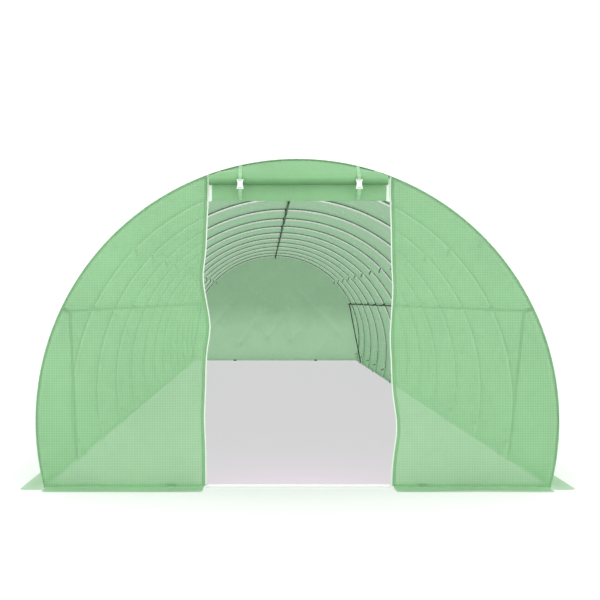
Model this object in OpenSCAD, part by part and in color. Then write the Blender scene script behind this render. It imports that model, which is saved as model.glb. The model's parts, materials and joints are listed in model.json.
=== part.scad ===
// Walk-in tunnel greenhouse: steel hoops, ridge pole, purlins and base rails under a
// translucent woven sheet, with a roll-up zipped door in the front gable.
// Frame: X across, +Y towards the back gable, +Z up, origin on the ground at the middle.

/* [Tunnel] */
// Distance from one hoop to the next; there are 13 hoops
bay = 1000; // [800:50:1200]
// Radius of a hoop's centre line
hoop_r = 1545; // [1530:5:1560]
// Height of a hoop's centre above the ground
hoop_c = 400; // [395:1:410]

/* [Tube] */
// Outside diameter of the hoops and side rails
tube_d = 25; // [24:0.5:25]
// Outside diameter of the end rails, ridge pole, purlins and braces
thin_tube_d = 19; // [16:1:20]
// Wall of every tube
tube_wall = 0.8; // [0.7:0.1:1.2]
// Wall of the fittings that the tubes fit into
fitting_wall = 1.6; // [1.4:0.1:1.6]

/* [Sheet] */
// Thickness of the woven sheet
sheet = 0.6; // [0.5:0.1:0.7]
// Width of the ground skirts along the sides
side_skirt = 137; // [100:1:160]
// Width of the ground skirts at the two ends
end_skirt = 130; // [100:5:160]

/* [Door] */
// Radius of the rolled-up door
roll_r = 41; // [38:1:43]
// Radius of its ends, where the door's edges are pulled in under the arch
roll_end_r = 28; // [24:1:34]
// Height of the rolled-up door's axis
roll_z = 1838; // [1834:1:1842]
// Height of the fold where the door turns up into its roll
fold_z = 1708; // [1700:1:1715]
// Distance of each tie strap from the door's middle
strap_x = 349; // [300:1:380]
// Width of a tie strap
strap_w = 22; // [20:1:24]

/* [Hidden] */
$fn = 48;
hoops = 13;
last = hoops - 1;
half_l = bay * last / 2;

// tubes and fittings
tube_r = tube_d / 2;
bore_r = tube_r + 0.3;                       // a fitting's bore, a running clearance
fitting_r = bore_r + fitting_wall;
rail_z = fitting_r;                          // the fittings stand on the ground
rail_x = sqrt(pow(hoop_r, 2) - pow(hoop_c - rail_z, 2));
thin_tube_r = thin_tube_d / 2;
thin_bore_r = thin_tube_r + 0.3;
thin_fitting_r = thin_bore_r + fitting_wall;
pole_drop = tube_r + thin_tube_r + 4;        // from a hoop's axis to the pole under it
pole_end = half_l + 10;
pole_tube = 2000;                            // length of one ridge or purlin tube

// places on a hoop, as angles above the horizontal
function hoop_angle(z) = asin((z - hoop_c) / hoop_r);
shoulder_a = 44;                             // where a leg meets a rafter
purlin_a = 25.5;                             // where a purlin crosses
leg_foot_a = hoop_angle(34);                 // lower end of a leg
socket_top_a = hoop_angle(150);              // mouth of the socket that a leg stands in
foot_screw_a = hoop_angle(125);

// sheet
cover_r = hoop_r + fitting_r + 1;            // inside of the cover
gable_y = half_l + fitting_r + 2;            // inner face of a gable
face_y = -gable_y - sheet;                   // outer face of the front gable
gable_r = cover_r - 0.4;
ground_a = asin((0.5 - hoop_c) / cover_r);
skirt_x = cover_r * cos(ground_a);           // where the cover meets a side skirt
skirt_reach = 60;                            // how far a side skirt goes on past a gable
arc_steps = 96;
edge_steps = 60;

// door
door_mid = 10;
roll_y = face_y - 6 - roll_r;
roll_ends = [-524, 532];
roll_taper = 55;                             // length of its tapered ends
roll_wall = 4;
slack_ends = [-510, 530];                    // the turned-up part of the door
slack_y = face_y - 3;
panel_ends = [-572, 598];                    // the door's sheet overlaps the gable inside
panel_y = -gable_y + 1;
tape_w = 13;                                 // one side of a zip
slider_z = fold_z - 12;
slider_y = face_y - 1.4;
buckle_y = roll_y - roll_r - 10;
buckle_z = 1786;                             // where a plug and its socket part

function pad2(i) = str(i < 10 ? "0" : "", i);

galvanised = [0.80, 0.83, 0.82];
dark_steel = [0.16, 0.21, 0.18];
sheet_green = [0.56, 0.79, 0.56];
zip_white = [0.86, 0.93, 0.86];
webbing = [0.46, 0.70, 0.48];

// ---------- placing ----------

function hoop_y(i) = -half_l + i * bay;

// Local frame on a hoop: X outward, Y along the tunnel, Z along the hoop
module on_hoop(i, a) {
    translate([0, hoop_y(i), hoop_c]) rotate([0, -a, 0]) translate([hoop_r, 0, 0]) children();
}

module both_sides() {
    children();
    mirror([1, 0, 0]) children();
}

module both_ends() {
    children();
    mirror([0, 1, 0]) children();
}

module every_hoop_side() {
    for (i = [0:last]) both_sides() {
        $hoop = i;
        children();
    }
}

// A 2D outline in X and Z as a sheet that fills from y - t to y
module upright(y, t) {
    translate([0, y, 0]) rotate([90, 0, 0]) linear_extrude(t) children();
}

// ---------- tubes ----------

// A round bar, or a tube if ri is over 0, on a hoop's centre line from angle a0 to a1
module arc_bar(i, a0, a1, ro, ri = 0) {
    translate([0, hoop_y(i), hoop_c]) rotate([90, 0, 0]) rotate([0, 0, a0])
        rotate_extrude(angle = a1 - a0) translate([hoop_r, 0]) difference() {
            circle(ro);
            if (ri > 0) circle(ri);
        }
}

// A round bar or tube along Z, standing on z = 0
module bar(long, ro, ri = 0) {
    difference() {
        cylinder(r = ro, h = long);
        if (ri > 0) translate([0, 0, -1]) cylinder(r = ri, h = long + 2);
    }
}

module bar_y(x, z, y0, y1, ro, ri = 0) {
    translate([x, y1, z]) rotate([90, 0, 0]) bar(y1 - y0, ro, ri);
}

module bar_x(y, z, x0, x1, ro, ri = 0) {
    translate([x0, y, z]) rotate([0, 90, 0]) bar(x1 - x0, ro, ri);
}

module hoop(i) {
    split = 0.02;
    color(galvanised) both_sides() {
        arc_bar(i, leg_foot_a, shoulder_a - split, tube_r, tube_r - tube_wall);
        arc_bar(i, shoulder_a + split, 90 - split, tube_r, tube_r - tube_wall);
    }
}

// Tubes end to end along Y between the joints given, 1 mm apart
module tube_run(x, z, joints, r) {
    for (k = [0 : len(joints) - 2])
        bar_y(x, z, joints[k] + 0.5, joints[k + 1] - 0.5, r, r - tube_wall);
}

function pole_x(a) = (hoop_r - pole_drop) * cos(a);
function pole_z(a) = hoop_c + (hoop_r - pole_drop) * sin(a);

// A pole under the hoops at angle a
module pole(side, a) {
    inner = [for (k = [1 : last / 2 - 1]) -half_l + k * 2 * bay];
    color(dark_steel)
        tube_run(side * pole_x(a), pole_z(a), concat([-pole_end], inner, [pole_end]), thin_tube_r);
}

rail_joints = [for (k = [0 : last / 2 - 1]) -half_l + (2 * k + 1) * bay + 150];
end_joint = 750;
rail_end = 22;                               // a rail stops this short of the corner

module base_rail(side) {
    color(galvanised) tube_run(side * rail_x, rail_z,
        concat([-half_l + rail_end], rail_joints, [half_l - rail_end]), tube_r);
}

module end_rail(y) {
    runs = [[-rail_x + rail_end, -end_joint], [-end_joint, end_joint], [end_joint, rail_x - rail_end]];
    color(galvanised) for (run = runs)
        bar_x(y, thin_fitting_r, run[0] + 0.5, run[1] - 0.5, thin_tube_r, thin_tube_r - tube_wall);
}

// Sleeves over the joints of the base rails
module rail_couplers() {
    color(dark_steel) both_sides() {
        for (y = rail_joints) bar_y(rail_x, rail_z, y - 25, y + 25, fitting_r - 0.5, bore_r);
        both_ends()
            bar_x(-half_l, thin_fitting_r, end_joint - 25, end_joint + 25, thin_fitting_r, thin_bore_r);
    }
}

// A corner brace from the purlin at the end hoop to the base rail at the next one
module brace() {
    top = [pole_x(purlin_a), -half_l + 60, pole_z(purlin_a)];
    foot = [rail_x, -half_l + bay - 90, rail_z];
    along = foot - top;
    long = norm(along);
    difference() {
        union() {
            translate(top) rotate([0, acos(along[2] / long), atan2(along[1], along[0])])
                cylinder(r = thin_tube_r, h = long);
            bar_y(top[0], top[2], top[1] - 15, top[1] + 15, thin_fitting_r);
            bar_y(foot[0], foot[2], foot[1] - 15, foot[1] + 15, fitting_r - 0.5);
        }
        bar_y(top[0], top[2], top[1] - 40, top[1] + 40, thin_bore_r);
        bar_y(foot[0], foot[2], foot[1] - 40, foot[1] + 40, bore_r);
    }
}

module braces() { color(dark_steel) both_sides() brace(); }

// ---------- fittings ----------

ear_x = fitting_r + 11;                      // from a hoop's axis in to a wing screw's
ear_half = 7;                                // half the width of a pair of ears
screw_r = 3;

// The pair of ears on a fitting's inner side that a wing screw pinches
module ears() { translate([-ear_x - 8, -ear_half, -9]) cube([ear_x, 2 * ear_half, 18]); }

// The slit between the ears, and the clearance hole for the screw across them
module ears_cut(slit_half) {
    translate([-ear_x - 9, -1, -slit_half]) cube([ear_x - 1, 2, 2 * slit_half]);
    translate([-ear_x, ear_half + 1, 0]) rotate([90, 0, 0]) cylinder(r = screw_r + 0.4, h = 2 * ear_half + 2);
}

// A split clamp over a shoulder joint
module shoulder_clamp(i) {
    half_a = 1.3;
    difference() {
        union() {
            arc_bar(i, shoulder_a - half_a, shoulder_a + half_a, fitting_r);
            on_hoop(i, shoulder_a) ears();
        }
        arc_bar(i, shoulder_a - half_a - 1, shoulder_a + half_a + 1, bore_r);
        on_hoop(i, shoulder_a) ears_cut(40);
    }
}

// The socket that a leg stands in, and what is cut out of it
module leg_socket(i) {
    arc_bar(i, hoop_angle(rail_z), socket_top_a, fitting_r - 0.5);
    on_hoop(i, foot_screw_a) ears();
}

module leg_socket_cut(i) {
    arc_bar(i, leg_foot_a - 0.04, socket_top_a + 1, bore_r);
    on_hoop(i, foot_screw_a) ears_cut(16);
}

// A tee: the base rail runs through it and the leg stands in it
module base_tee(i) {
    difference() {
        union() {
            bar_y(rail_x, rail_z, hoop_y(i) - 35, hoop_y(i) + 35, fitting_r);
            leg_socket(i);
        }
        bar_y(rail_x, rail_z, hoop_y(i) - 36, hoop_y(i) + 36, bore_r);
        leg_socket_cut(i);
    }
}

// A corner: sockets for the leg, the side rail and the end rail
module base_corner() {
    y = -half_l;
    difference() {
        union() {
            bar_y(rail_x, rail_z, y - fitting_r, y + 75, fitting_r);
            bar_x(y, thin_fitting_r, rail_x - 75, rail_x, thin_fitting_r);
            leg_socket(0);
        }
        bar_y(rail_x, rail_z, y + rail_end - 1, y + 76, bore_r);
        bar_x(y, thin_fitting_r, rail_x - 76, rail_x - rail_end + 1, thin_bore_r);
        leg_socket_cut(0);
    }
}

// A cross clamp that hangs a pole along Y under a hoop
module cross_clamp(i, a) {
    on_hoop(i, a) difference() {
        union() {
            translate([0, 0, -12]) cylinder(r = fitting_r, h = 24);
            translate([-pole_drop, -8, -8]) cube([14, 16, 16]);
            bar_y(-pole_drop, 0, -12, 12, thin_fitting_r);
            translate([-pole_drop - thin_fitting_r - 5, 0, 0]) rotate([0, 90, 0]) cylinder(r = 6, h = 6);
        }
        translate([0, 0, -13]) cylinder(r = bore_r, h = 26);
        bar_y(-pole_drop, 0, -13, 13, thin_bore_r);
        translate([-pole_drop - thin_fitting_r - 6, 0, 0]) rotate([0, 90, 0]) cylinder(r = screw_r, h = 9);
    }
}

// A hex bolt whose tip just clears the pole of a cross clamp
module clamp_bolt(i, a) {
    on_hoop(i, a) translate([-pole_drop - thin_tube_r - 0.1, 0, 0]) rotate([0, -90, 0]) {
        cylinder(r = screw_r - 0.2, h = 12);
        translate([0, 0, fitting_wall + 5.5]) cylinder(r = 6.5, h = 5, $fn = 6);
    }
}

// A wing screw across a fitting's ears: its head is on the -Y side
module wing_screw(wing_long) {
    translate([-ear_x, 0, 0]) {
        translate([0, ear_half + 2, 0]) rotate([90, 0, 0]) cylinder(r = screw_r, h = 2 * ear_half + 4);
        translate([0, -ear_half - 1.5, 0]) rotate([90, 0, 0]) cylinder(r = 6, h = 9);
        translate([0, -ear_half - 8, 0]) rotate([90, 0, 0]) rotate([0, 0, 22]) linear_extrude(4)
            for (s = [-1, 1]) scale(s) {
                translate([0, -3.5]) square([wing_long, 7]);
                translate([wing_long, 2]) circle(7);
            }
    }
}

// The end hoops' screws have their heads inside the tunnel, as all the others face the door
module screw_on(i, a, wing_long) {
    on_hoop(i, a) mirror([0, i == 0 ? 1 : 0, 0]) wing_screw(wing_long);
}

module base_tees() { color(galvanised) for (i = [1 : last - 1]) both_sides() base_tee(i); }
module base_corners() { color(galvanised) both_sides() both_ends() base_corner(); }
module shoulder_clamps() { color(galvanised) every_hoop_side() shoulder_clamp($hoop, $fn = 32); }
module ridge_clamps() { color(dark_steel) for (i = [0:last]) cross_clamp(i, 90); }
module purlin_clamps() { color(dark_steel) every_hoop_side() cross_clamp($hoop, purlin_a, $fn = 32); }
module shoulder_screws() { color(dark_steel) every_hoop_side() screw_on($hoop, shoulder_a, 22, $fn = 24); }
module foot_screws() { color(dark_steel) every_hoop_side() screw_on($hoop, foot_screw_a, 15, $fn = 24); }
module clamp_bolts() {
    color(dark_steel) {
        for (i = [0:last]) clamp_bolt(i, 90);
        every_hoop_side() clamp_bolt($hoop, purlin_a);
    }
}

// ---------- sheet ----------

function arch(r, a0, a1, n) = [for (k = [0:n]) let (a = a0 + (a1 - a0) * k / n)
    [r * cos(a), hoop_c + r * sin(a)]];

module cover_sheet() {
    outer = arch(cover_r + sheet, ground_a, 180 - ground_a, arc_steps);
    inner = arch(cover_r, 180 - ground_a, ground_a, arc_steps);
    color(sheet_green) upright(gable_y + sheet, 2 * (gable_y + sheet)) polygon(concat(outer, inner));
}

// A soft bump of height 1 at height z = at
function bump(z, at, half) = exp(-pow((z - at) / half, 2));

// The doorway's two edges, pulled in and out by the tension of the sheet
function edge_left(z) = -548 + 24 * bump(z, 960, 130) - 17 * bump(z, 1260, 110)
    + 13 * bump(z, 1785, 250) - 8 * bump(z, 420, 150);
function edge_right(z) = 564 + 30 * bump(z, 360, 170) - 8 * bump(z, 890, 120)
    + 7 * bump(z, 1190, 110) - 7 * bump(z, 1765, 200);
function edge(side, z) = side < 0 ? edge_left(z) : edge_right(z);
function edge_run(side, shift, z0, z1) = [for (k = [0:edge_steps]) let (z = z0 + (z1 - z0) * k / edge_steps)
    [edge(side, z) + side * shift, z]];
function arch_z(x) = hoop_c + sqrt(pow(gable_r, 2) - x * x);
function edge_top(side) = arch_z(edge(side, roll_z));

// The front gable on one side of the doorway
module gable_front(side) {
    top_a = acos(abs(edge(side, roll_z)) / gable_r);
    arc = [for (p = arch(gable_r, ground_a, top_a, arc_steps / 2)) [side * p[0], p[1]]];
    run = edge_run(side, 0, edge_top(side) - 2, 0.5);
    color(sheet_green) upright(-gable_y, sheet) polygon(concat(arc, run));
}

module gable_back() {
    color(sheet_green) upright(gable_y + sheet, sheet)
        polygon(arch(gable_r, ground_a, 180 - ground_a, arc_steps));
}

module skirt_side() {
    color(sheet_green) translate([skirt_x + 0.7, face_y - skirt_reach, 0])
        cube([side_skirt, 2 * (skirt_reach - face_y), sheet]);
}

// The ground flap in front of the gable on one side of the doorway
module skirt_front(side) {
    near = edge(side, 0);
    far = side * (skirt_x - 4);
    color(sheet_green) translate([0, face_y, 0]) linear_extrude(sheet)
        polygon([[near, 0], [near, -end_skirt], [far - side * 8, -end_skirt], [far, 0]]);
}

module skirt_back() {
    far = skirt_x - 4;
    color(sheet_green) translate([-far, -face_y, 0]) cube([2 * far, end_skirt, sheet]);
}

// ---------- door and zips ----------

// A strip between two distances inside a doorway edge
module edge_strip(side, a, b, z0, z1) {
    polygon(concat(edge_run(side, -a, z0, z1), edge_run(side, -b, z1, z0)));
}

// The door's sheet: down from the arch, and turned up at its fold towards the roll
module door_panel() {
    span = panel_ends[1] - panel_ends[0];
    top = [for (k = [0:24]) let (x = panel_ends[0] + span * k / 24) [x, arch_z(x) - 1]];
    fold_y = (panel_y + slack_y - sheet) / 2;
    fold_r = (panel_y - slack_y + sheet) / 2;
    slack_w = slack_ends[1] - slack_ends[0];
    color(sheet_green) {
        upright(panel_y, sheet)
            polygon(concat([[panel_ends[1], fold_z + 8], [panel_ends[0], fold_z + 8]], top));
        upright(panel_y, sheet) translate([slack_ends[0], fold_z]) square([slack_w, 10]);
        upright(slack_y, sheet) translate([slack_ends[0], fold_z]) square([slack_w, roll_z - fold_z]);
        translate([slack_ends[0], fold_y, fold_z]) rotate([0, 90, 0]) difference() {
            bar(slack_w, fold_r, fold_r - sheet);
            translate([-2 * fold_r, -fold_r - 1, -1]) cube([2 * fold_r, 2 * fold_r + 2, slack_w + 2]);
        }
    }
}

// The door's halves of the two zips, closed above the sliders
module door_zip_tapes() {
    for (s = [-1, 1]) color(zip_white) upright(face_y - 0.2, 0.7)
        edge_strip(s, tape_w - 4.8, 2 * tape_w - 4.8, fold_z + 2, edge_top(s) - 16);
}

module door_roll() {
    middle = (roll_ends[0] + roll_ends[1]) / 2;
    half = roll_ends[1] - middle;
    outer = [[roll_end_r, -half], [roll_r, roll_taper - half],
             [roll_r, half - roll_taper], [roll_end_r, half]];
    inner = [for (k = [3 : -1 : 0]) outer[k] - [roll_wall, 0]];
    color(sheet_green) translate([middle, roll_y, roll_z]) rotate([0, 90, 0])
        rotate_extrude() polygon(concat(outer, inner));
}

// The gable's half of a zip, along one edge of the doorway
module zip_tape(side) {
    color(zip_white) upright(face_y - 0.2, 0.7) edge_strip(side, -5, tape_w - 5, 0.5, edge_top(side) - 4);
}

module zip_stops() {
    for (s = [-1, 1]) color("white") upright(face_y - 1.1, 2.5)
        translate([edge(s, 8) - 9, 2]) square([18, 9]);
}

function slider_x(side) = edge(side, slider_z) - side * 3;
hinge_y = slider_y - 5.5;
hinge_z = slider_z + 2.5;
hinge_r = 1.2;

module zip_slider(side) {
    x = slider_x(side);
    color("silver") difference() {
        union() {
            upright(slider_y, 3) translate([x, slider_z]) {
                translate([-6, -9]) square([12, 14]);
                translate([0, 4]) circle(6);
            }
            translate([x - 2, hinge_y - 2.5, slider_z - 1.5]) cube([4, 6.5, 8]);
        }
        bar_x(hinge_y, hinge_z, x - 3, x + 3, hinge_r + 0.1);
    }
}

// The pull that swings on a slider
module zip_pull(side) {
    x = slider_x(side);
    tab_z = hinge_z - 16;
    color("silver") {
        bar_x(hinge_y, hinge_z, x - 4, x + 4, hinge_r);
        for (s = [-1, 1]) translate([x + s * 3.3 - 0.9, hinge_y - 1, tab_z]) cube([1.8, 2, 17]);
        upright(hinge_y + 1, 2) translate([x, tab_z]) difference() {
            union() {
                translate([-4.2, -15]) square([8.4, 17]);
                translate([0, -15]) circle(4.2);
            }
            translate([0, -13]) circle(1.8);
        }
    }
}

// ---------- tie straps and buckles ----------

// The outline of a band of thickness t along a path of [y, z] points
function along(path, k) = path[min(k + 1, len(path) - 1)] - path[max(k - 1, 0)];
function normal(path, k) = let (d = along(path, k)) [-d[1], d[0]] / norm(d);
function band(path, t) = concat(
    [for (k = [0 : len(path) - 1]) path[k] + normal(path, k) * t / 2],
    [for (k = [len(path) - 1 : -1 : 0]) path[k] - normal(path, k) * t / 2]);

module strap(x, path) {
    color(webbing) translate([x - strap_w / 2, 0, 0]) rotate([90, 0, 90])
        linear_extrude(strap_w) polygon(band(path, 1.4));
}

function about_roll(r, a0, a1, n) = [for (k = [0:n]) let (a = a0 + (a1 - a0) * k / n)
    [roll_y + r * cos(a), roll_z + r * sin(a)]];

// Down from the arch, over the roll and into the socket's bar
front_path = concat([[face_y - 1.5, arch_z(strap_x) - 6]],
                    about_roll(roll_y - buckle_y, 112, 180, 10),
                    [[buckle_y, buckle_z + 37]]);
// From the plug down and back under the roll to where it is sewn at the door's fold
tail_path = [[buckle_y, buckle_z - 17], [buckle_y + 5, buckle_z - 26], [buckle_y + 20, fold_z + 33],
             [buckle_y + 44, fold_z + 18], [slack_y - 22, fold_z + 14], [slack_y - 8, fold_z + 10],
             [slack_y - 1.6, fold_z + 3]];

buckle_w = 42;

module buckle_socket(x) {
    half = buckle_w / 2;
    outline = [[4 - half, 0], [half - 4, 0], [half - 6, 7], [half - 6, 20], [half, 43],
               [half - 8, 37], [8 - half, 37], [-half, 43], [6 - half, 20], [6 - half, 7]];
    color("white") translate([x, buckle_y, buckle_z]) difference() {
        translate([0, 5, 0]) rotate([90, 0, 0]) linear_extrude(10) polygon(outline);
        translate([-13, -3, -1]) cube([26, 6, 27]);
        translate([-12, -6, 29]) cube([24, 12, 3]);
    }
}

module buckle_plug(x) {
    half = buckle_w / 2;
    color("white") translate([x, buckle_y, buckle_z]) difference() {
        union() {
            upright(4.5, 9) polygon([[-half, -15.5], [half, -15.5], [half - 4, -0.5], [4 - half, -0.5]]);
            translate([-3, -2.2, -1]) cube([6, 4.4, 22]);
            for (s = [-1, 1]) translate([s * 10 - 2, -2.4, -1]) cube([4, 4.8, 24]);
        }
        translate([-12, -5, -10.5]) cube([24, 10, 3.5]);
    }
}

module strap_of(side, path) { strap(door_mid + side * strap_x, path); }

// ---------- the part ----------

for (i = [0:last]) hoop(i);
base_tees();
base_corners();
base_rail(-1);  // base_rail_left
base_rail(1);  // base_rail_right
end_rail(-half_l);  // base_rail_front
end_rail(half_l);  // base_rail_back
rail_couplers();
pole(0, 90);  // ridge_pole
pole(-1, purlin_a);  // purlin_left
pole(1, purlin_a);  // purlin_right
braces();  // braces_front
mirror([0, 1, 0]) braces();  // braces_back
shoulder_clamps();
ridge_clamps();
purlin_clamps();
shoulder_screws();
foot_screws();
clamp_bolts();
cover_sheet();
gable_front(-1);  // gable_front_left
gable_front(1);  // gable_front_right
gable_back();
mirror([1, 0, 0]) skirt_side();  // skirt_left
skirt_side();  // skirt_right
for (s = [-1, 1]) skirt_front(s);
skirt_back();
door_panel();
door_zip_tapes();
door_roll();
zip_tape(-1);  // zip_tape_left
zip_tape(1);  // zip_tape_right
zip_stops();
zip_slider(-1);  // zip_slider_left
zip_slider(1);  // zip_slider_right
zip_pull(-1);  // zip_pull_left
zip_pull(1);  // zip_pull_right
strap_of(-1, front_path);  // strap_front_left
strap_of(1, front_path);  // strap_front_right
strap_of(-1, tail_path);  // strap_tail_left
strap_of(1, tail_path);  // strap_tail_right
buckle_socket(door_mid - strap_x);  // buckle_socket_left
buckle_socket(door_mid + strap_x);  // buckle_socket_right
buckle_plug(door_mid - strap_x);  // buckle_plug_left
buckle_plug(door_mid + strap_x);  // buckle_plug_right
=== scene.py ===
"""Looks of the walk-in tunnel greenhouse: sheet, hems, zips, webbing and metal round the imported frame."""

import json
import math

import bpy
import numpy as np
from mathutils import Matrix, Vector


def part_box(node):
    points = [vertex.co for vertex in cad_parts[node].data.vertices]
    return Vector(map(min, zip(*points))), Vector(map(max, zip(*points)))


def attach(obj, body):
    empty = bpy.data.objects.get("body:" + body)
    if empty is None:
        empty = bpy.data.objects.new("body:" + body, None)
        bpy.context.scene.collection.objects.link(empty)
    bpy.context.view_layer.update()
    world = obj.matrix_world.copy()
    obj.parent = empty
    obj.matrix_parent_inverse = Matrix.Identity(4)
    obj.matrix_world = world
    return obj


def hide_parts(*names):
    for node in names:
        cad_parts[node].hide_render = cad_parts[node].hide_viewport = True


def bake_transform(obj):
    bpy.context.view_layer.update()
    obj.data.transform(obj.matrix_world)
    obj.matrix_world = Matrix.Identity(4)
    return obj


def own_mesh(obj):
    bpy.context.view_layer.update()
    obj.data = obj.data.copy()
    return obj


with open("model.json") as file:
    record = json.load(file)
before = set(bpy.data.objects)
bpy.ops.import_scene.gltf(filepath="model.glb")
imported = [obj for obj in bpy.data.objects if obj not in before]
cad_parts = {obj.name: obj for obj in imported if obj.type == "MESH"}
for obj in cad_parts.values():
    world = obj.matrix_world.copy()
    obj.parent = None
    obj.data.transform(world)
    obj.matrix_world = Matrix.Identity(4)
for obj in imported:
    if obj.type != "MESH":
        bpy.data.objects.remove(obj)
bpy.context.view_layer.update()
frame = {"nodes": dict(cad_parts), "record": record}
nodes = frame["nodes"]
ROOT = "greenhouse"

MM = 0.001
GRID_PITCH = 15 * MM
GRID_THREAD = 3.6 * MM
WEAVE_PITCH = 1.3 * MM

# ---------- places, read off the frame ----------

cover_low, cover_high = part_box("cover_sheet")
OUTER_R = (cover_high.x - cover_low.x) / 2
CENTRE_Z = cover_high.z - OUTER_R
FACE_Y = cover_low.y
END_Y = cover_high.y
hoop_low, hoop_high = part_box("hoop_01")
HOOP_Y = (hoop_low.y + hoop_high.y) / 2
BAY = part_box("hoop_02")[0].y - hoop_low.y
GROUND_A = math.asin((2 * MM - CENTRE_Z) / OUTER_R)
roll_low, roll_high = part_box("door_roll")
ROLL_Y = (roll_low.y + roll_high.y) / 2
ROLL_Z = (roll_low.z + roll_high.z) / 2
ROLL_R = (roll_high.z - roll_low.z) / 2
ROLL_END_R = 29 * MM
ROLL_TURNS = 5.2
MEAN_TURN = 0.66  # the wound turns' mean radius as a share of the roll's
WOUND_LENGTH = ROLL_TURNS * math.tau * ROLL_R * MEAN_TURN
FOLD_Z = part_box("door_panel")[0].z + 0.0035
SIDES = {"left": -1, "right": 1}
GABLE_R = OUTER_R - 1.2 * MM
buckle_low, buckle_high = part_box("buckle_socket_left")
BUCKLE_Y = (buckle_low.y + buckle_high.y) / 2
PLUG_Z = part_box("buckle_plug_left")[0].z
strap_low, strap_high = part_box("strap_front_left")
STRAP_W = strap_high.x - strap_low.x
STRAP_THICK = 1.3 * MM
STRAP_X = {side: sum(v.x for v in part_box("buckle_socket_" + side)) / 2 for side in SIDES}


def doorway_edge(side):
    """Heights of one doorway edge, and its x at each, read off the middle of its zip tape."""
    tape_middle = 1.5 * MM
    points = np.array([v.co for v in nodes["zip_tape_" + side].data.vertices])
    heights = np.unique(points[:, 2].round(4))
    rows = [points[abs(points[:, 2] - z) < 0.1 * MM, 0] for z in heights]
    middles = [(row.min() + row.max()) / 2 + SIDES[side] * tape_middle for row in rows]
    return heights, np.array(middles)


EDGES = {side: doorway_edge(side) for side in SIDES}


def edge_x(side, z):
    return np.interp(z, *EDGES[side])


def arch_z(x):
    return CENTRE_Z + np.sqrt(GABLE_R**2 - np.asarray(x) ** 2)


def arch_x(z):
    return np.sqrt(np.maximum(GABLE_R**2 - (np.asarray(z) - CENTRE_Z) ** 2, 0))


# ---------- camera, light and floor ----------

CAMERA_AT = (-0.193, FACE_Y - 5.66, 1.113)
LENS = 57.0


def make_camera():
    camera = bpy.data.objects.new("camera", bpy.data.cameras.new("camera"))
    bpy.context.scene.collection.objects.link(camera)
    camera.location = CAMERA_AT
    camera.rotation_euler = (math.radians(90), 0, 0)
    camera.data.lens = LENS
    camera.data.sensor_width = 36
    camera.data.shift_x = 0.0583
    camera.data.shift_y = 0.0017
    camera.data.clip_end = 200
    bpy.context.scene.camera = camera


def make_world(strength):
    world = bpy.data.worlds.new("studio")
    bpy.context.scene.world = world
    world.use_nodes = True
    background = world.node_tree.nodes["Background"]
    background.inputs["Color"].default_value = (1, 1, 1, 1)
    background.inputs["Strength"].default_value = strength


def make_floor(name, half_x, half_y, z, colour, glow):
    """A pale matt floor. glow is its emission: on the studio floor it stands for the lamps under its
    diffusing sheet, and on the patch under the tunnel it is painted light.
    """
    mesh = bpy.data.meshes.new(name)
    corners = [(-half_x, -half_y, z), (half_x, -half_y, z), (half_x, half_y, z), (-half_x, half_y, z)]
    mesh.from_pydata(corners, [], [(0, 1, 2, 3)])
    floor = bpy.data.objects.new(name, mesh)
    bpy.context.scene.collection.objects.link(floor)
    _, shader = new_material(name)
    shader.inputs["Base Color"].default_value = (*colour, 1)
    shader.inputs["Roughness"].default_value = 0.9
    shader.inputs["Specular IOR Level"].default_value = 0.1
    shader.inputs["Emission Color"].default_value = (1, 1, 1, 1)
    shader.inputs["Emission Strength"].default_value = glow
    mesh.materials.append(bpy.data.materials[name])


# ---------- shader building ----------


def new_material(name):
    """A new material's node tree and its Principled node."""
    material = bpy.data.materials.new(name)
    material.use_nodes = True
    return material.node_tree, material.node_tree.nodes["Principled BSDF"]


def add(nt, kind, **values):
    """A new node; values set its inputs by name, or its attributes where it has no such input."""
    node = nt.nodes.new(kind)
    for key, value in values.items():
        name = key.replace("_", " ").title()
        if name in node.inputs and not hasattr(node, key):
            node.inputs[name].default_value = value
        else:
            setattr(node, key, value)
    return node


def math_node(nt, operation, a, b=None, c=None, clamp=False):
    node = add(nt, "ShaderNodeMath", operation=operation, use_clamp=clamp)
    for socket, value in zip(node.inputs, (a, b, c)):
        if hasattr(value, "links"):
            nt.links.new(value, socket)
        elif value is not None:
            socket.default_value = value
    return node.outputs[0]


def times_plus(nt, a, share, b, clamp=False):
    """a times share, plus b."""
    return math_node(nt, "MULTIPLY_ADD", a, share, b, clamp)


def tinted(colour, share):
    """The colour times share, no brighter than 1."""
    return tuple(min(c * share, 1) for c in colour)


def mix_colour(nt, factor, a, b, blend="MIX"):
    node = nt.nodes.new("ShaderNodeMix")
    node.data_type = "RGBA"
    node.blend_type = blend
    for socket, value in ((node.inputs[0], factor), (node.inputs[6], a), (node.inputs[7], b)):
        if hasattr(value, "links"):
            nt.links.new(value, socket)
        else:
            socket.default_value = value if socket == node.inputs[0] else (*value, 1)
    return node.outputs[2]


def ramp(nt, factor, low, high):
    """factor spread so that low gives 0 and high gives 1."""
    node = add(nt, "ShaderNodeMapRange")
    node.inputs["From Min"].default_value = low
    node.inputs["From Max"].default_value = high
    nt.links.new(factor, node.inputs["Value"])
    return node.outputs[0]


def noise(nt, where, scale, detail=3.0, roughness=0.5, distortion=0.0):
    node = add(nt, "ShaderNodeTexNoise", scale=scale, detail=detail)
    node.inputs["Roughness"].default_value = roughness
    node.inputs["Distortion"].default_value = distortion
    nt.links.new(where, node.inputs["Vector"])
    return node.outputs["Fac"]


def object_place(nt):
    return add(nt, "ShaderNodeTexCoord").outputs["Object"]


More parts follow.
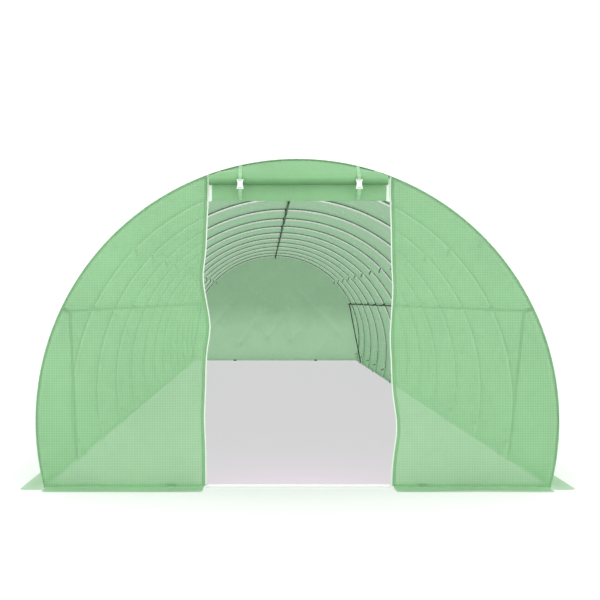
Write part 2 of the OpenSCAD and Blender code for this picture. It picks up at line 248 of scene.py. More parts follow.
def flat_place(nt, on_uv):
    """Where a point lies on its sheet, in metres: its UV, or its x and z for an upright piece."""
    if on_uv:
        return add(nt, "ShaderNodeUVMap", uv_map="metres").outputs["UV"]
    split = add(nt, "ShaderNodeSeparateXYZ")
    nt.links.new(object_place(nt), split.inputs[0])
    joined = add(nt, "ShaderNodeCombineXYZ")
    nt.links.new(split.outputs["X"], joined.inputs["X"])
    nt.links.new(split.outputs["Z"], joined.inputs["Y"])
    return joined.outputs[0]


def thread_grid(nt, where, pitch, thread):
    """1 on the threads of a square grid and 0 between them."""
    node = add(nt, "ShaderNodeTexBrick", offset=0.0, squash=1.0)
    node.inputs["Scale"].default_value = 1 / pitch
    node.inputs["Brick Width"].default_value = 1.0
    node.inputs["Row Height"].default_value = 1.0
    node.inputs["Mortar Size"].default_value = thread / pitch / 2
    node.inputs["Mortar Smooth"].default_value = 0.2
    nt.links.new(where, node.inputs["Vector"])
    return node.outputs["Fac"]


def weave(nt, where, pitch):
    """The over and under of two crossing sets of threads, from 0 to 1."""
    split = add(nt, "ShaderNodeSeparateXYZ")
    nt.links.new(where, split.inputs[0])
    waves = []
    for axis in ("X", "Y"):
        turned = math_node(nt, "MULTIPLY", split.outputs[axis], math.tau / pitch)
        waves.append(math_node(nt, "SINE", turned))
    crossed = math_node(nt, "MULTIPLY", *waves)
    return times_plus(nt, crossed, 0.5, 0.5)


def bump(nt, shader, height, distance, strength):
    """Bumps the shader's surface, over any bump that it has already."""
    node = add(nt, "ShaderNodeBump", strength=strength, distance=distance)
    nt.links.new(height, node.inputs["Height"])
    before = shader.inputs["Normal"]
    if before.is_linked:
        nt.links.new(before.links[0].from_socket, node.inputs["Normal"])
    nt.links.new(node.outputs[0], before)


def shade_by_height(nt, colour, dark_z, light_z, least, wobble):
    """The colour times least at dark_z, rising to itself at light_z, with an uneven boundary."""
    where = object_place(nt)
    split = add(nt, "ShaderNodeSeparateXYZ")
    nt.links.new(where, split.inputs[0])
    uneven = math_node(nt, "MULTIPLY", noise(nt, where, 1.6, 2, 0.5, 0.6), wobble)
    height = math_node(nt, "ADD", split.outputs["Z"], math_node(nt, "SUBTRACT", uneven, wobble / 2))
    share = ramp(nt, height, dark_z, light_z)
    tint = mix_colour(nt, share, least, (1, 1, 1))
    return mix_colour(nt, 1.0, colour, tint, blend="MULTIPLY")


def sheet_material(name, green, lit, clear, through, on_uv=False, crumple=0.4, shade=None, rough=0.30):
    """Woven translucent film. lit is its colour with light behind it, clear the share seen straight
    through between the threads, through the share of light that it scatters onwards, crumple the
    strength of its creases, and shade what shade_by_height is given."""
    nt, shader = new_material(name)
    where = flat_place(nt, on_uv)
    body = object_place(nt)
    threads = thread_grid(nt, where, GRID_PITCH, GRID_THREAD)
    fine = weave(nt, where, WEAVE_PITCH)
    broad = ramp(nt, noise(nt, body, 1.7, 4, 0.55, 0.3), 0.3, 0.7)
    cloudy = ramp(nt, noise(nt, body, 11, 4, 0.6, 0.8), 0.3, 0.7)
    tone = times_plus(nt, broad, 0.6, math_node(nt, "MULTIPLY", cloudy, 0.4))
    toned = mix_colour(nt, tone, tinted(green, 0.90), tinted(green, 1.07))
    on_thread = math_node(nt, "MULTIPLY", threads, 0.28)
    threaded = mix_colour(nt, on_thread, toned, tinted(green, 0.84))
    lit_toned = mix_colour(nt, tone, tinted(lit, 0.9), lit)
    if shade:
        threaded = shade_by_height(nt, threaded, *shade)
        lit_toned = shade_by_height(nt, lit_toned, *shade)
    nt.links.new(threaded, shader.inputs["Base Color"])
    shader.inputs["Specular IOR Level"].default_value = 0.45
    nt.links.new(times_plus(nt, cloudy, 0.14, rough), shader.inputs["Roughness"])
    folds = times_plus(nt, broad, 0.6, noise(nt, body, 7, 5, 0.6, 1.5))
    bump(nt, shader, folds, 6 * MM, crumple)
    bump(nt, shader, times_plus(nt, fine, 0.25, threads), 0.25 * MM, 0.5)
    scatter = add(nt, "ShaderNodeBsdfTranslucent")
    nt.links.new(lit_toned, scatter.inputs["Color"])
    nt.links.new(shader.inputs["Normal"].links[0].from_socket, scatter.inputs["Normal"])
    solid = add(nt, "ShaderNodeMixShader")
    solid.inputs[0].default_value = through
    nt.links.new(shader.outputs[0], solid.inputs[1])
    nt.links.new(scatter.outputs[0], solid.inputs[2])
    window = add(nt, "ShaderNodeBsdfTransparent")
    window.inputs["Color"].default_value = (0.90, 1.0, 0.90, 1)
    between = math_node(nt, "SUBTRACT", 1.0, math_node(nt, "MULTIPLY", threads, 0.6))
    see = add(nt, "ShaderNodeMixShader")
    nt.links.new(math_node(nt, "MULTIPLY", between, clear), see.inputs[0])
    nt.links.new(solid.outputs[0], see.inputs[1])
    nt.links.new(window.outputs[0], see.inputs[2])
    nt.links.new(see.outputs[0], nt.nodes["Material Output"].inputs["Surface"])


def facing_out(nt):
    """1 where a surface faces away from the tunnel's middle, towards the sheet, and 0 inside: the mask of the
    hoops' painted shade.
    """
    flat = add(nt, "ShaderNodeVectorMath", operation="MULTIPLY_ADD")
    nt.links.new(object_place(nt), flat.inputs[0])
    flat.inputs[1].default_value = (1, 0, 1)
    flat.inputs[2].default_value = (0, 0, -CENTRE_Z)
    outward = add(nt, "ShaderNodeVectorMath", operation="NORMALIZE")
    nt.links.new(flat.outputs[0], outward.inputs[0])
    facing = add(nt, "ShaderNodeVectorMath", operation="DOT_PRODUCT")
    nt.links.new(outward.outputs[0], facing.inputs[0])
    nt.links.new(add(nt, "ShaderNodeNewGeometry").outputs["Normal"], facing.inputs[1])
    return ramp(nt, facing.outputs["Value"], -0.15, 0.30)


def metal_material(name, colour, dull, metallic, rough, spangle, outer=None):
    """Zinc or paint on steel tube: a mottled colour, and scuffs that change its gloss. outer is the
    colour of painted shade on the side of a hoop that faces the sheet, for the shadowed crevice
    where the sheet lies on it."""
    nt, shader = new_material(name)
    where = object_place(nt)
    cells = add(nt, "ShaderNodeTexVoronoi", scale=160.0)
    nt.links.new(where, cells.inputs["Vector"])
    crystal = ramp(nt, cells.outputs["Distance"], 0.0, 0.8)
    stain = ramp(nt, noise(nt, where, 14, 5, 0.65, 0.4), 0.35, 0.75)
    mottle = times_plus(nt, crystal, spangle, math_node(nt, "MULTIPLY", stain, 0.5), clamp=True)
    toned = mix_colour(nt, mottle, colour, dull)
    if outer:
        # painted shade: the side of the tube that faces the sheet is darkened to the outer colour
        toned = mix_colour(nt, facing_out(nt), toned, outer)
    nt.links.new(toned, shader.inputs["Base Color"])
    shader.inputs["Metallic"].default_value = metallic
    scuffs = noise(nt, where, 60, 4, 0.7)
    nt.links.new(times_plus(nt, scuffs, 0.3, rough - 0.15), shader.inputs["Roughness"])
    bump(nt, shader, scuffs, 0.15 * MM, 0.4)


def plastic_material(name, colour, rough):
    """Moulded plastic with a fine grain."""
    nt, shader = new_material(name)
    where = object_place(nt)
    uneven = ramp(nt, noise(nt, where, 40, 3), 0.3, 0.7)
    nt.links.new(mix_colour(nt, uneven, tinted(colour, 0.93), colour), shader.inputs["Base Color"])
    grain = noise(nt, where, 900, 3, 0.6)
    nt.links.new(times_plus(nt, grain, 0.2, rough - 0.1), shader.inputs["Roughness"])
    bump(nt, shader, grain, 0.05 * MM, 0.5)


def webbing_material(name, colour, pitch, on_uv=True):
    """Woven webbing, zip tape, cord or thread: a fine weave, worn paler in places."""
    nt, shader = new_material(name)
    cloth_weave = weave(nt, flat_place(nt, on_uv), pitch)
    wear = ramp(nt, noise(nt, object_place(nt), 35, 4, 0.6), 0.45, 0.8)
    woven = mix_colour(nt, cloth_weave, tinted(colour, 0.72), colour)
    nt.links.new(mix_colour(nt, wear, woven, tinted(colour, 1.12)), shader.inputs["Base Color"])
    shader.inputs["Roughness"].default_value = 0.75
    shader.inputs["Sheen Weight"].default_value = 0.25
    bump(nt, shader, cloth_weave, 0.3 * MM, 0.8)


# ---------- mesh building ----------


def ripple(p, q, size, seed, waves=7):
    """Smooth unevenness between about -1 and 1, from crossing waves about that long."""
    rng = np.random.default_rng(seed)
    total = 0
    for _ in range(waves):
        turn, phase = rng.uniform(0, math.tau, 2)
        length = size * rng.uniform(0.6, 1.7)
        total = total + np.sin((p * math.cos(turn) + q * math.sin(turn)) * math.tau / length + phase)
    return total / math.sqrt(waves * 2)


def creases(p, q, size, seed):
    """Sharp-backed folds between 0 and 1, as in sheet that was packed and pulled out."""
    return 1 - np.minimum(abs(ripple(p, q, size, seed, 5)) * 1.6, 1)


def smooth_step(t):
    t = np.clip(t, 0, 1)
    return t * t * (3 - 2 * t)


def new_piece(name, vertices, faces, material, smooth=True):
    mesh = bpy.data.meshes.new(name)
    mesh.from_pydata([tuple(map(float, v)) for v in vertices], [], faces)
    mesh.materials.append(bpy.data.materials[material])
    for polygon in mesh.polygons:
        polygon.use_smooth = smooth
    mesh.update()
    piece = bpy.data.objects.new(name, mesh)
    bpy.context.scene.collection.objects.link(piece)
    return piece


def lay_flat(piece, flat, faces):
    """Writes where each point lies on the flat piece, in metres, to its UV."""
    layer = piece.data.uv_layers.new(name="metres")
    loops = [i for face in faces for i in face]
    layer.data.foreach_set("uv", np.array(flat, np.float32)[loops].reshape(-1))


def cloth(name, across, along, place, material):
    """A sheet of quads. place(u, v) gives x, y, z and where the point lies on the flat sheet."""
    u, v = np.meshgrid(np.linspace(0, 1, across + 1), np.linspace(0, 1, along + 1))
    x, y, z, s, t = (np.broadcast_to(a, u.shape) for a in place(u, v))
    points = np.stack([x, y, z], -1).reshape(-1, 3)
    wide = across + 1
    faces = [(r * wide + c, r * wide + c + 1, (r + 1) * wide + c + 1, (r + 1) * wide + c)
             for r in range(along) for c in range(across)]
    piece = new_piece(name, points, faces, material)
    lay_flat(piece, np.stack([s, t], -1).reshape(-1, 2), faces)
    return piece


def skin(rings, around):
    """Faces of a closed bar made of that many rings with that many points each, and its two ends."""
    faces = []
    for r in range(rings - 1):
        for c in range(around):
            ahead = (c + 1) % around
            faces.append((r * around + c, r * around + ahead, (r + 1) * around + ahead, (r + 1) * around + c))
    faces.append(tuple(range(around)))
    faces.append(tuple(reversed(range((rings - 1) * around, rings * around))))
    return faces


def tube(name, path, radius, material):
    """A round cord or bar along a list of points."""
    sides = 10
    path = [Vector(p) for p in path]
    points = []
    up = Vector((0.0, 0.0, 1.0))
    for k, point in enumerate(path):
        ahead = path[min(k + 1, len(path) - 1)] - path[max(k - 1, 0)]
        side = ahead.cross(up)
        if side.length < 1e-6 * max(ahead.length, 1e-9):
            side = ahead.cross(Vector((0.0, 1.0, 0.0)))
        side.normalize()
        out = side.cross(ahead).normalized()
        points += [point + (side * math.cos(a) + out * math.sin(a)) * radius
                   for a in np.linspace(0, math.tau, sides, endpoint=False)]
    return new_piece(name, points, skin(len(path), sides), material)


BLOCK_CORNERS = [(-1, -1, -1), (1, -1, -1), (1, 1, -1), (-1, 1, -1),
                 (-1, -1, 1), (1, -1, 1), (1, 1, 1), (-1, 1, 1)]
BLOCK_FACES = [(0, 3, 2, 1), (4, 5, 6, 7), (0, 1, 5, 4), (1, 2, 6, 5), (2, 3, 7, 6), (3, 0, 4, 7)]
BLOCK_TAPER = 0.7


def blocks(name, places, material):
    """Many small blocks in one piece. Each place is a centre, and its three half edges as vectors."""
    points, faces = [], []
    for centre, a, b, c in places:
        base = len(points)
        for i, j, k in BLOCK_CORNERS:
            taper = BLOCK_TAPER if k > 0 else 1.0
            points.append(Vector(centre) + Vector(a) * i * taper + Vector(b) * j * taper + Vector(c) * k)
        faces += [tuple(base + n for n in face) for face in BLOCK_FACES]
    return new_piece(name, points, faces, material, smooth=False)


def fix(piece, slot, *replaced, body=ROOT):
    """The piece rides on its body and stands for the CAD nodes, which it hides. slot is not used."""
    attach(piece, body)
    if replaced:
        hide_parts(*replaced)
    return piece


# ---------- the cover ----------


def cover_radius(angle, y):
    """The cover hugs each hoop and is drawn in between hoops, with packing folds."""
    share = np.sin(np.pi * (y - HOOP_Y) / BAY) ** 2
    share = np.where((y < HOOP_Y) | (y > -HOOP_Y), 0, share)
    height = CENTRE_Z + OUTER_R * np.sin(angle)
    loose = smooth_step((height - 0.03) / 0.25)
    length = angle * OUTER_R
    drawn = 9 * MM * share + 2.5 * MM * share * (1 + ripple(length, y, 0.5, 11))
    folded = 2.2 * MM * share * creases(length, y * 0.6, 0.9, 12)
    return OUTER_R - 0.8 * MM - loose * (drawn + folded)


def make_cover():
    steps = 12 * 14  # 12 bays between the hoops

    def place(u, v):
        angle = GROUND_A + (math.pi - 2 * GROUND_A) * u
        y = FACE_Y + (END_Y - FACE_Y) * v
        radius = cover_radius(angle, y)
        return (radius * np.cos(angle), y, CENTRE_Z + radius * np.sin(angle), angle * OUTER_R, y)

    cover = cloth("cover", 132, steps, place, "cover_film")
    fix(cover, "cover_sheet", "cover_sheet")
    bindings = [make_binding(*end) for end in (("front", FACE_Y, 1), ("back", END_Y, -1))]


def make_binding(end, y0, inward):
    """The doubled edge of the cover where a gable is sewn to it."""
    wide = 26 * MM

    def place(u, v):
        angle = GROUND_A + (math.pi - 2 * GROUND_A) * u
        y = y0 + inward * wide * v
        radius = OUTER_R - 0.2 * MM - 0.4 * MM * (2 * v - 1) ** 4 + 0.25 * MM * np.sin(angle * 900)
        return (radius * np.cos(angle), y, CENTRE_Z + radius * np.sin(angle), angle * OUTER_R, y)

    binding = cloth("cover_binding_" + end, 240, 6, place, "hem_film")
    return fix(binding, "cover_sheet")


def arc_points(radius, y, first, last, count):
    return [(radius * math.cos(a), y, CENTRE_Z + radius * math.sin(a))
            for a in np.linspace(first, last, count)]


def make_piping():
    """The sewn edge where a gable meets the cover."""
    bead = 2.6 * MM
    for end, y in (("front", FACE_Y - 1 * MM), ("back", END_Y + 1 * MM)):
        path = arc_points(OUTER_R - bead, y, GROUND_A + 0.004, math.pi - GROUND_A - 0.004, 180)
        fix(tube("arch_piping_" + end, path, bead, "hem_cord"), "gable_sheet")


# ---------- gables ----------


def gable_swell(x, z, seed):
    """How far a gable stands proud of its plane, which is never inward, because of the hoop."""
    loose = smooth_step((GABLE_R - np.hypot(x, z - CENTRE_Z)) / 0.12)
    soft = 3.5 * MM * (1 + ripple(x, z, 0.55, seed))
    fold = 2.6 * MM * creases(x * 0.8, z * 0.45, 0.5, seed + 1)
    return loose * (soft + fold)


def make_front_gable(side):
    sign = SIDES[side]
    heights, _ = EDGES[side]
    top_z = float(arch_z(edge_x(side, heights.max()))) - 1 * MM
    ground_z = 3 * MM

    def place(u, v):
        z = ground_z + (top_z - ground_z) * v
        near = edge_x(side, z)
        far = sign * arch_x(z)
        x = near + (far - near) * u
        y = FACE_Y + 0.2 * MM - gable_swell(x, z, 21) * smooth_step(u * 8) * smooth_step(z / 0.1)
        return (x, y, z, x, z)

    gable = cloth("front_gable_" + side, 84, 120, place, "gable_film")
    fix(gable, "gable_sheet", "gable_front_" + side)
    trim = [make_hem(side, top_z), make_stitches(side, top_z), make_ground_seam(side)]


ZIP_CLEAR = 4 * MM  # how far the doorway's hem stays off the zip's slider
SEAM_Z = 5.5 * MM
SEAM_R = 3.2 * MM


def make_hem(side, top_z):
    """The doubled sheet along the doorway that the zip is sewn to."""
    sign = SIDES[side]
    wide = 16 * MM

    def place(u, v):
        z = 3 * MM + (top_z - 22 * MM) * v
        x = edge_x(side, z) + sign * (ZIP_CLEAR + wide * u)
        pucker = 0.5 * MM * np.sin(z * 520) * np.sin(u * math.pi) ** 2
        y = FACE_Y - 1.3 * MM - pucker - 0.8 * MM * ripple(x, z, 0.2, 31) * u
        y = y - gable_swell(x, z, 21) * smooth_step(u * 8 * wide) * smooth_step(z / 0.1)
        return (x, y, z, x, z)

    return fix(cloth("doorway_hem_" + side, 8, 240, place, "hem_film"), "gable_sheet")


def make_stitches(side, top_z):
    """Two rows of thread along the doorway's hem."""
    sign = SIDES[side]
    long = 2.6 * MM
    places = []
    for inset in (ZIP_CLEAR + 3 * MM, ZIP_CLEAR + 12 * MM):
        for z in np.arange(10 * MM, top_z - 30 * MM, 3.2 * long):
            x = float(edge_x(side, z)) + sign * inset
            y = FACE_Y - 2.3 * MM - float(gable_swell(x, z, 21)) * smooth_step(inset * 8)
            places.append(((x, y, z), (0.45 * MM, 0, 0), (0, 0, long), (0, -0.4 * MM, 0)))
    return fix(blocks("doorway_stitches_" + side, places, "thread"), "gable_sheet")


def make_ground_seam(side):
    """The sewn join between the gable and its ground flap."""
    start = float(edge_x(side, 0.01)) + SIDES[side] * 14 * MM
    stop = SIDES[side] * (float(arch_x(0.01)) - 3 * MM)
    path = [(x, FACE_Y - 2.5 * MM - 1.5 * MM * float(ripple(x, 0, 0.3, 41)), SEAM_Z)
            for x in np.linspace(start, stop, 60)]
    return fix(tube("ground_seam_" + side, path, SEAM_R, "hem_cord"), "gable_sheet")


# Large folds of the back gable: their two ends (x, z) in metres, width and height in millimetres
BACK_FOLDS = [
    (-1.25, 0.55, -0.81, 1.07, 60, 16), (-0.81, 1.07, -0.66, 0.33, 50, 20),
    (-0.66, 0.33, -0.38, 0.72, 50, 16), (-0.38, 0.72, -0.14, 0.46, 45, 14),
    (-0.14, 0.46, 0.24, 0.95, 55, 18), (0.24, 0.95, 0.27, 0.39, 45, 18),
    (0.27, 0.39, 0.62, 0.70, 50, 12), (0.38, 1.36, 1.20, 0.50, 70, 20),
    (-0.60, 1.45, -0.20, 1.10, 60, 10), (0.80, 0.20, 1.30, 0.75, 60, 10),
]


def back_folds(x, z):
    """How far the large folds stand proud of the back gable."""
    loose = smooth_step((GABLE_R - np.hypot(x, z - CENTRE_Z)) / 0.15) * smooth_step(z / 0.12)
    height = 0
    for x0, z0, x1, z1, wide, tall in BACK_FOLDS:
        long = math.hypot(x1 - x0, z1 - z0)
        along = np.clip(((x - x0) * (x1 - x0) + (z - z0) * (z1 - z0)) / long**2, 0, 1)
        away = np.hypot(x - x0 - along * (x1 - x0), z - z0 - along * (z1 - z0))
        height = height + tall * MM * np.exp(-((away / (wide * MM)) ** 1.5))
    return loose * height


def make_back_gable():
    def place(u, v):
        z = 3 * MM + (CENTRE_Z + GABLE_R - 4 * MM) * v
        x = arch_x(z) * (2 * u - 1)
        y = END_Y - 0.2 * MM + 1.2 * gable_swell(x, z, 51) + back_folds(x, z)
        return (x, y, z, x, z)

    gable = cloth("back_gable", 150, 130, place, "back_film")
    fix(gable, "gable_sheet", "gable_back")
    reach = float(arch_x(0.01)) - 3 * MM
    path = [(x, END_Y + 2.5 * MM, SEAM_Z) for x in np.linspace(-reach, reach, 100)]
    seam = fix(tube("ground_seam_back", path, SEAM_R, "hem_cord"), "gable_sheet")


# ---------- ground skirts ----------


def skirt_height(along, out, seed):
    """A skirt lies on the ground but lifts in long low waves towards its free edge."""
    lift = (1 + ripple(along, out * 0.3, 0.7, seed)) * 0.5
    return 1.2 * MM + 9 * MM * lift * smooth_step(out * 1.2) * out + 4 * MM * (1 - smooth_step(out * 6))


def make_side_skirt(side):
    sign = SIDES[side]
    low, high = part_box("skirt_" + side)
    inner = min(abs(low.x), abs(high.x)) - 1 * MM
    outer = max(abs(low.x), abs(high.x)) - 1 * MM

    def place(u, v):
        y = low.y + (high.y - low.y) * v
        wave = 5 * MM * ripple(y, 0, 0.8, 61 + sign)
        x = inner + (outer - inner) * u + (wave - 5 * MM) * u
        return (sign * x, y, skirt_height(y, u, 62 + sign), x, y)

    skirt = cloth("side_skirt_" + side, 10, 400, place, "skirt_film")
    fix(skirt, "skirt_sheet", "skirt_" + side)


def make_front_skirt(side):
    sign = SIDES[side]
    low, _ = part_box("skirt_front")
    far = abs(low.x) - 1 * MM
    near = float(edge_x(side, 0.005)) + sign * 12 * MM

    def place(u, v):
        x = near + (sign * far - near) * v
        deep = (FACE_Y - low.y) - 5 * MM + 5 * MM * ripple(x, 0, 0.55, 71)
        slant = 8 * MM * u * (v > 0.999)
        return (x - sign * slant, FACE_Y - 1 * MM - deep * u, skirt_height(x, u, 72), x, u * deep)

    skirt = cloth("front_skirt_" + side, 14, 90, place, "skirt_film")
    fix(skirt, "skirt_sheet", "skirt_front")


def make_back_skirt():
    low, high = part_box("skirt_back")

    def place(u, v):
        x = low.x + (high.x - low.x) * v
        deep = (high.y - END_Y) - 5 * MM + 5 * MM * ripple(x, 0, 0.55, 81)
        return (x, END_Y + 1 * MM + deep * u, skirt_height(x, u, 82), x, u * deep)

    skirt = cloth("back_skirt", 14, 170, place, "skirt_film")
    fix(skirt, "skirt_sheet", "skirt_back")


# ---------- the door ----------

PANEL_Y = FACE_Y + 1.2 * MM
SLACK_ENDS = (roll_low.x + 14 * MM, roll_high.x - 2 * MM)
SLACK_TOP = ROLL_Z - ROLL_R + 9 * MM
SLACK_FRONT = ROLL_Y + ROLL_R - 9 * MM
UP_SHARE = 0.06  # the share of the rolled sheet that climbs behind the roll
OVER_SHARE = 0.16  # the share by which it has come over the roll's top
CORE_SHARE = 0.75  # how far the innermost turn is drawn in from the roll's radius


def make_door_top():
    """The part of the door that stays zipped, from the arch down to the fold."""
    overlap = 7 * MM

    def place(u, v):
        left = edge_x("left", FOLD_Z + 0.1 * v) - overlap
        right = edge_x("right", FOLD_Z + 0.1 * v) + overlap
        x = left + (right - left) * u
        top = arch_z(x) - 2 * MM
        z = FOLD_Z + (top - FOLD_Z) * v
        middle = np.sin(u * math.pi) * np.sin(v * math.pi)
        swell = (1.5 * MM * (1 + ripple(x, z, 0.25, 91)) + 2 * MM * creases(x, z, 0.35, 92)) * middle
        return (x, PANEL_Y - swell, z, x, z)

    panel = cloth("door_top", 120, 50, place, "door_film")
    fix(panel, "door_sheet", "door_panel")


def slack_shape(v, x):
    """The sheet that hangs between the fold and the roll: its y and z from fold (0) to roll (1)."""
    belly = 9 * MM * np.sin(v * math.pi) * (1 + 0.35 * ripple(x, v * 0.1, 0.3, 101))
    folded = 2.5 * MM * np.sin(np.minimum(v * 12, 1) * math.pi / 2)
    y = PANEL_Y + (SLACK_FRONT - PANEL_Y) * v - belly * (1 - v) - folded
    dip = 1.5 * MM * (1 - v) ** 8 * np.sin(np.minimum(v * 40, 1) * math.pi)
    return y, FOLD_Z - dip + (SLACK_TOP - FOLD_Z) * v**0.9


def make_slack():
    def place(u, v):
        x = SLACK_ENDS[0] + (SLACK_ENDS[1] - SLACK_ENDS[0]) * u
        y, z = slack_shape(v, x)
        return (x, y, z, x, z)

    slack = cloth("door_slack", 110, 130, place, "door_film")
    tapes = [make_slack_tape(side) for side in SIDES]
    blend_down(slack)


def make_slack_tape(side):
    """The door's zip tape along one edge of the slack."""
    end = SLACK_ENDS[0] if side == "left" else SLACK_ENDS[1]

    def place(u, v):
        across = (1 - 15 * u) * MM
        y, z = slack_shape(v, end)
        return (end - SIDES[side] * across, y - 0.6 * MM, z, across, z)

    tape = cloth("door_tape_low_" + side, 4, 130, place, "zip_tape")
    blend_down(tape)
    return tape


def blend_down(piece):
    """Bakes the piece's placement into its mesh."""
    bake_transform(piece)


def roll_size(x):
    """The roll's radius and the height of its middle at x. Its ends are pulled in under the arch."""
    room = np.minimum(x - roll_low.x, roll_high.x - x)
    pinch = sum(np.exp(-(((x - s) / (22 * MM)) ** 2)) for s in STRAP_X.values())
    radius = ROLL_END_R + (ROLL_R - ROLL_END_R) * smooth_step(room / (75 * MM))
    return radius * (1 - 0.08 * pinch), ROLL_Z - ROLL_R + radius


def roll_top(x):
    """Where the roll's outer turn leaves the door, close under the arch."""
    return FACE_Y - 3 * MM, arch_z(x) - 9 * MM


def roll_outline(x, share):
    """The sheet from behind the roll up to its top, down over its front and round inside, share 0 to 1."""
    radius, middle = roll_size(x)
    back_y, back_z = FACE_Y - 3 * MM, SLACK_TOP
    top_y, top_z = roll_top(x)
    reach = np.hypot(top_y - ROLL_Y, top_z - middle)
    start = np.arctan2(top_z - middle, top_y - ROLL_Y) + np.arccos(np.minimum(radius / reach, 1))
    front_y, front_z = ROLL_Y + radius * np.cos(start), middle + radius * np.sin(start)
    up = np.clip(share / UP_SHARE, 0, 1)
    over = np.clip((share - UP_SHARE) / (OVER_SHARE - UP_SHARE), 0, 1)
    wound = np.clip((share - OVER_SHARE) / (1 - OVER_SHARE), 0, 1)
    turn = start + wound * ROLL_TURNS * math.tau
    loose = (1 - wound) * smooth_step(wound * 30)
    uneven = 0.9 * MM * ripple(x, turn * ROLL_R, 0.12, 111)
    creased = 1.2 * MM * creases(x * 0.4, turn * ROLL_R, 0.1, 112)
    out = radius * (1 - CORE_SHARE * wound) + loose * (uneven + creased)
    swell = 3 * MM * np.sin(over * math.pi) * (1 + ripple(x, over * 0.1, 0.16, 113))
    y = np.where(share < OVER_SHARE, top_y + (front_y - top_y) * over - swell, ROLL_Y + out * np.cos(turn))
    z = np.where(share < OVER_SHARE, top_z + (front_z - top_z) * over, middle + out * np.sin(turn))
    y = np.where(share < UP_SHARE, back_y + (top_y - back_y) * up, y)
    z = np.where(share < UP_SHARE, back_z + (top_z - back_z) * up, z)
    return y, z


def make_roll():
    def place(u, v):
        x = roll_low.x + (roll_high.x - roll_low.x) * u
        y, z = roll_outline(x, v)
        x = x + 1.5 * MM * np.sin(v * 37) * (np.abs(2 * u - 1) ** 6)
        return (x, y, z, x, v * WOUND_LENGTH)

    roll = cloth("rolled_door", 130, 330, place, "roll_film")
    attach(roll, "door_roll")
    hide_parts("door_roll")
    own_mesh(roll)


# ---------- zips ----------


def tape_strip(name, side, out_a, out_b, z0, z1, y):
    """A strip of zip tape between two distances outside the doorway's edge."""
    sign = SIDES[side]

    def place(u, v):
        z = z0 + (z1 - z0) * v
        x = edge_x(side, z) + sign * (out_a + (out_b - out_a) * u)
        return (x, y - 0.25 * MM * np.sin(u * math.pi), z, sign * (out_a + (out_b - out_a) * u), z)

    return cloth(name, 4, max(int((z1 - z0) / (8 * MM)), 4), place, "zip_tape")


def zip_teeth(name, side, out, z0, z1, y, phase):
    """The coil along one tape's edge."""
    sign = SIDES[side]
    pitch = 3.2 * MM
    places = []
    for z in np.arange(z0 + phase * pitch, z1, pitch):
        x = float(edge_x(side, z)) + sign * out
        places.append(((x, y, z), (2.2 * MM, 0, 0), (0, 0, 0.9 * MM), (0, -0.8 * MM, 0)))
    return blocks(name, places, "zip_coil")


def make_zip(side):
    """The gable's tape and coil, and the door's on the part that stays zipped."""
    top = float(arch_z(edge_x(side, 1.8))) - 3 * MM
    tape_y = FACE_Y - 2.8 * MM
    inner = -5.5 * MM
    low = 2 * MM
    tape = tape_strip("gable_zip_tape_" + side, side, inner, 0, low, top, tape_y)
    fix(tape, "zip_tape", "zip_tape_" + side)
    fix(zip_teeth("gable_zip_coil_" + side, side, inner, low, top, tape_y - 0.9 * MM, 0), "zip_tape")
    door_top = top - 14 * MM
    door_low = FOLD_Z - 3 * MM
    door_tape = tape_strip("door_zip_tape_" + side, side, inner - 15 * MM, inner, door_low, door_top, tape_y)
    fix(door_tape, "zip_tape")
    fix(zip_teeth("door_zip_coil_" + side, side, inner, FOLD_Z, door_top, tape_y - 1.3 * MM, 0.5), "zip_tape")


# ---------- straps ----------


def smooth_path(points):
    """A Catmull-Rom curve through y, z points."""
    per_span = 8
    points = [np.array(p, float) for p in points]
    points = [2 * points[0] - points[1], *points, 2 * points[-1] - points[-2]]
    out = []
    for a, b, c, d in zip(points, points[1:], points[2:], points[3:]):
        for t in np.linspace(0, 1, per_span, endpoint=False):
            out.append(0.5 * (2 * b + (c - a) * t + (2 * a - 5 * b + 4 * c - d) * t**2
                              + (3 * b - a - 3 * c + d) * t**3))
    return out + [points[-2]]


def webbing(name, x, path):
    """A flat strap across X along y, z points, with rounded selvedges."""
    path = smooth_path(path)
    section = [(-1, 0), (-0.96, 0.8), (-0.86, 1), (0.86, 1), (0.96, 0.8), (1, 0),
               (0.96, -0.8), (0.86, -1), (-0.86, -1), (-0.96, -0.8)]
    points, flat, run = [], [], 0.0
    for k, p in enumerate(path):
        ahead = path[min(k + 1, len(path) - 1)] - path[max(k - 1, 0)]
        normal = np.array([-ahead[1], ahead[0]]) / np.linalg.norm(ahead)
        run += float(np.linalg.norm(p - path[k - 1])) if k else 0.0
        for across, out in section:
            y, z = p + normal * out * STRAP_THICK / 2
            points.append((x + across * STRAP_W / 2, y, z))
            flat.append((across * STRAP_W / 2, run))
    faces = skin(len(path), len(section))
    piece = new_piece(name, points, faces, "strap_web")
    lay_flat(piece, flat, faces)
    return piece


def over_roll(x, clear, shares):
    """Points that far off the roll, from its top down over its front."""
    radius, middle = roll_size(x)
    points = []
    for share in shares:
        y, z = (float(a[0]) for a in roll_outline(np.array([x]), np.array([share])))
        away = np.array([y - (ROLL_Y + 0.4 * radius), z - middle])
        y, z = np.array([y, z]) + away / np.linalg.norm(away) * clear
        points.append((y, z))
    return points


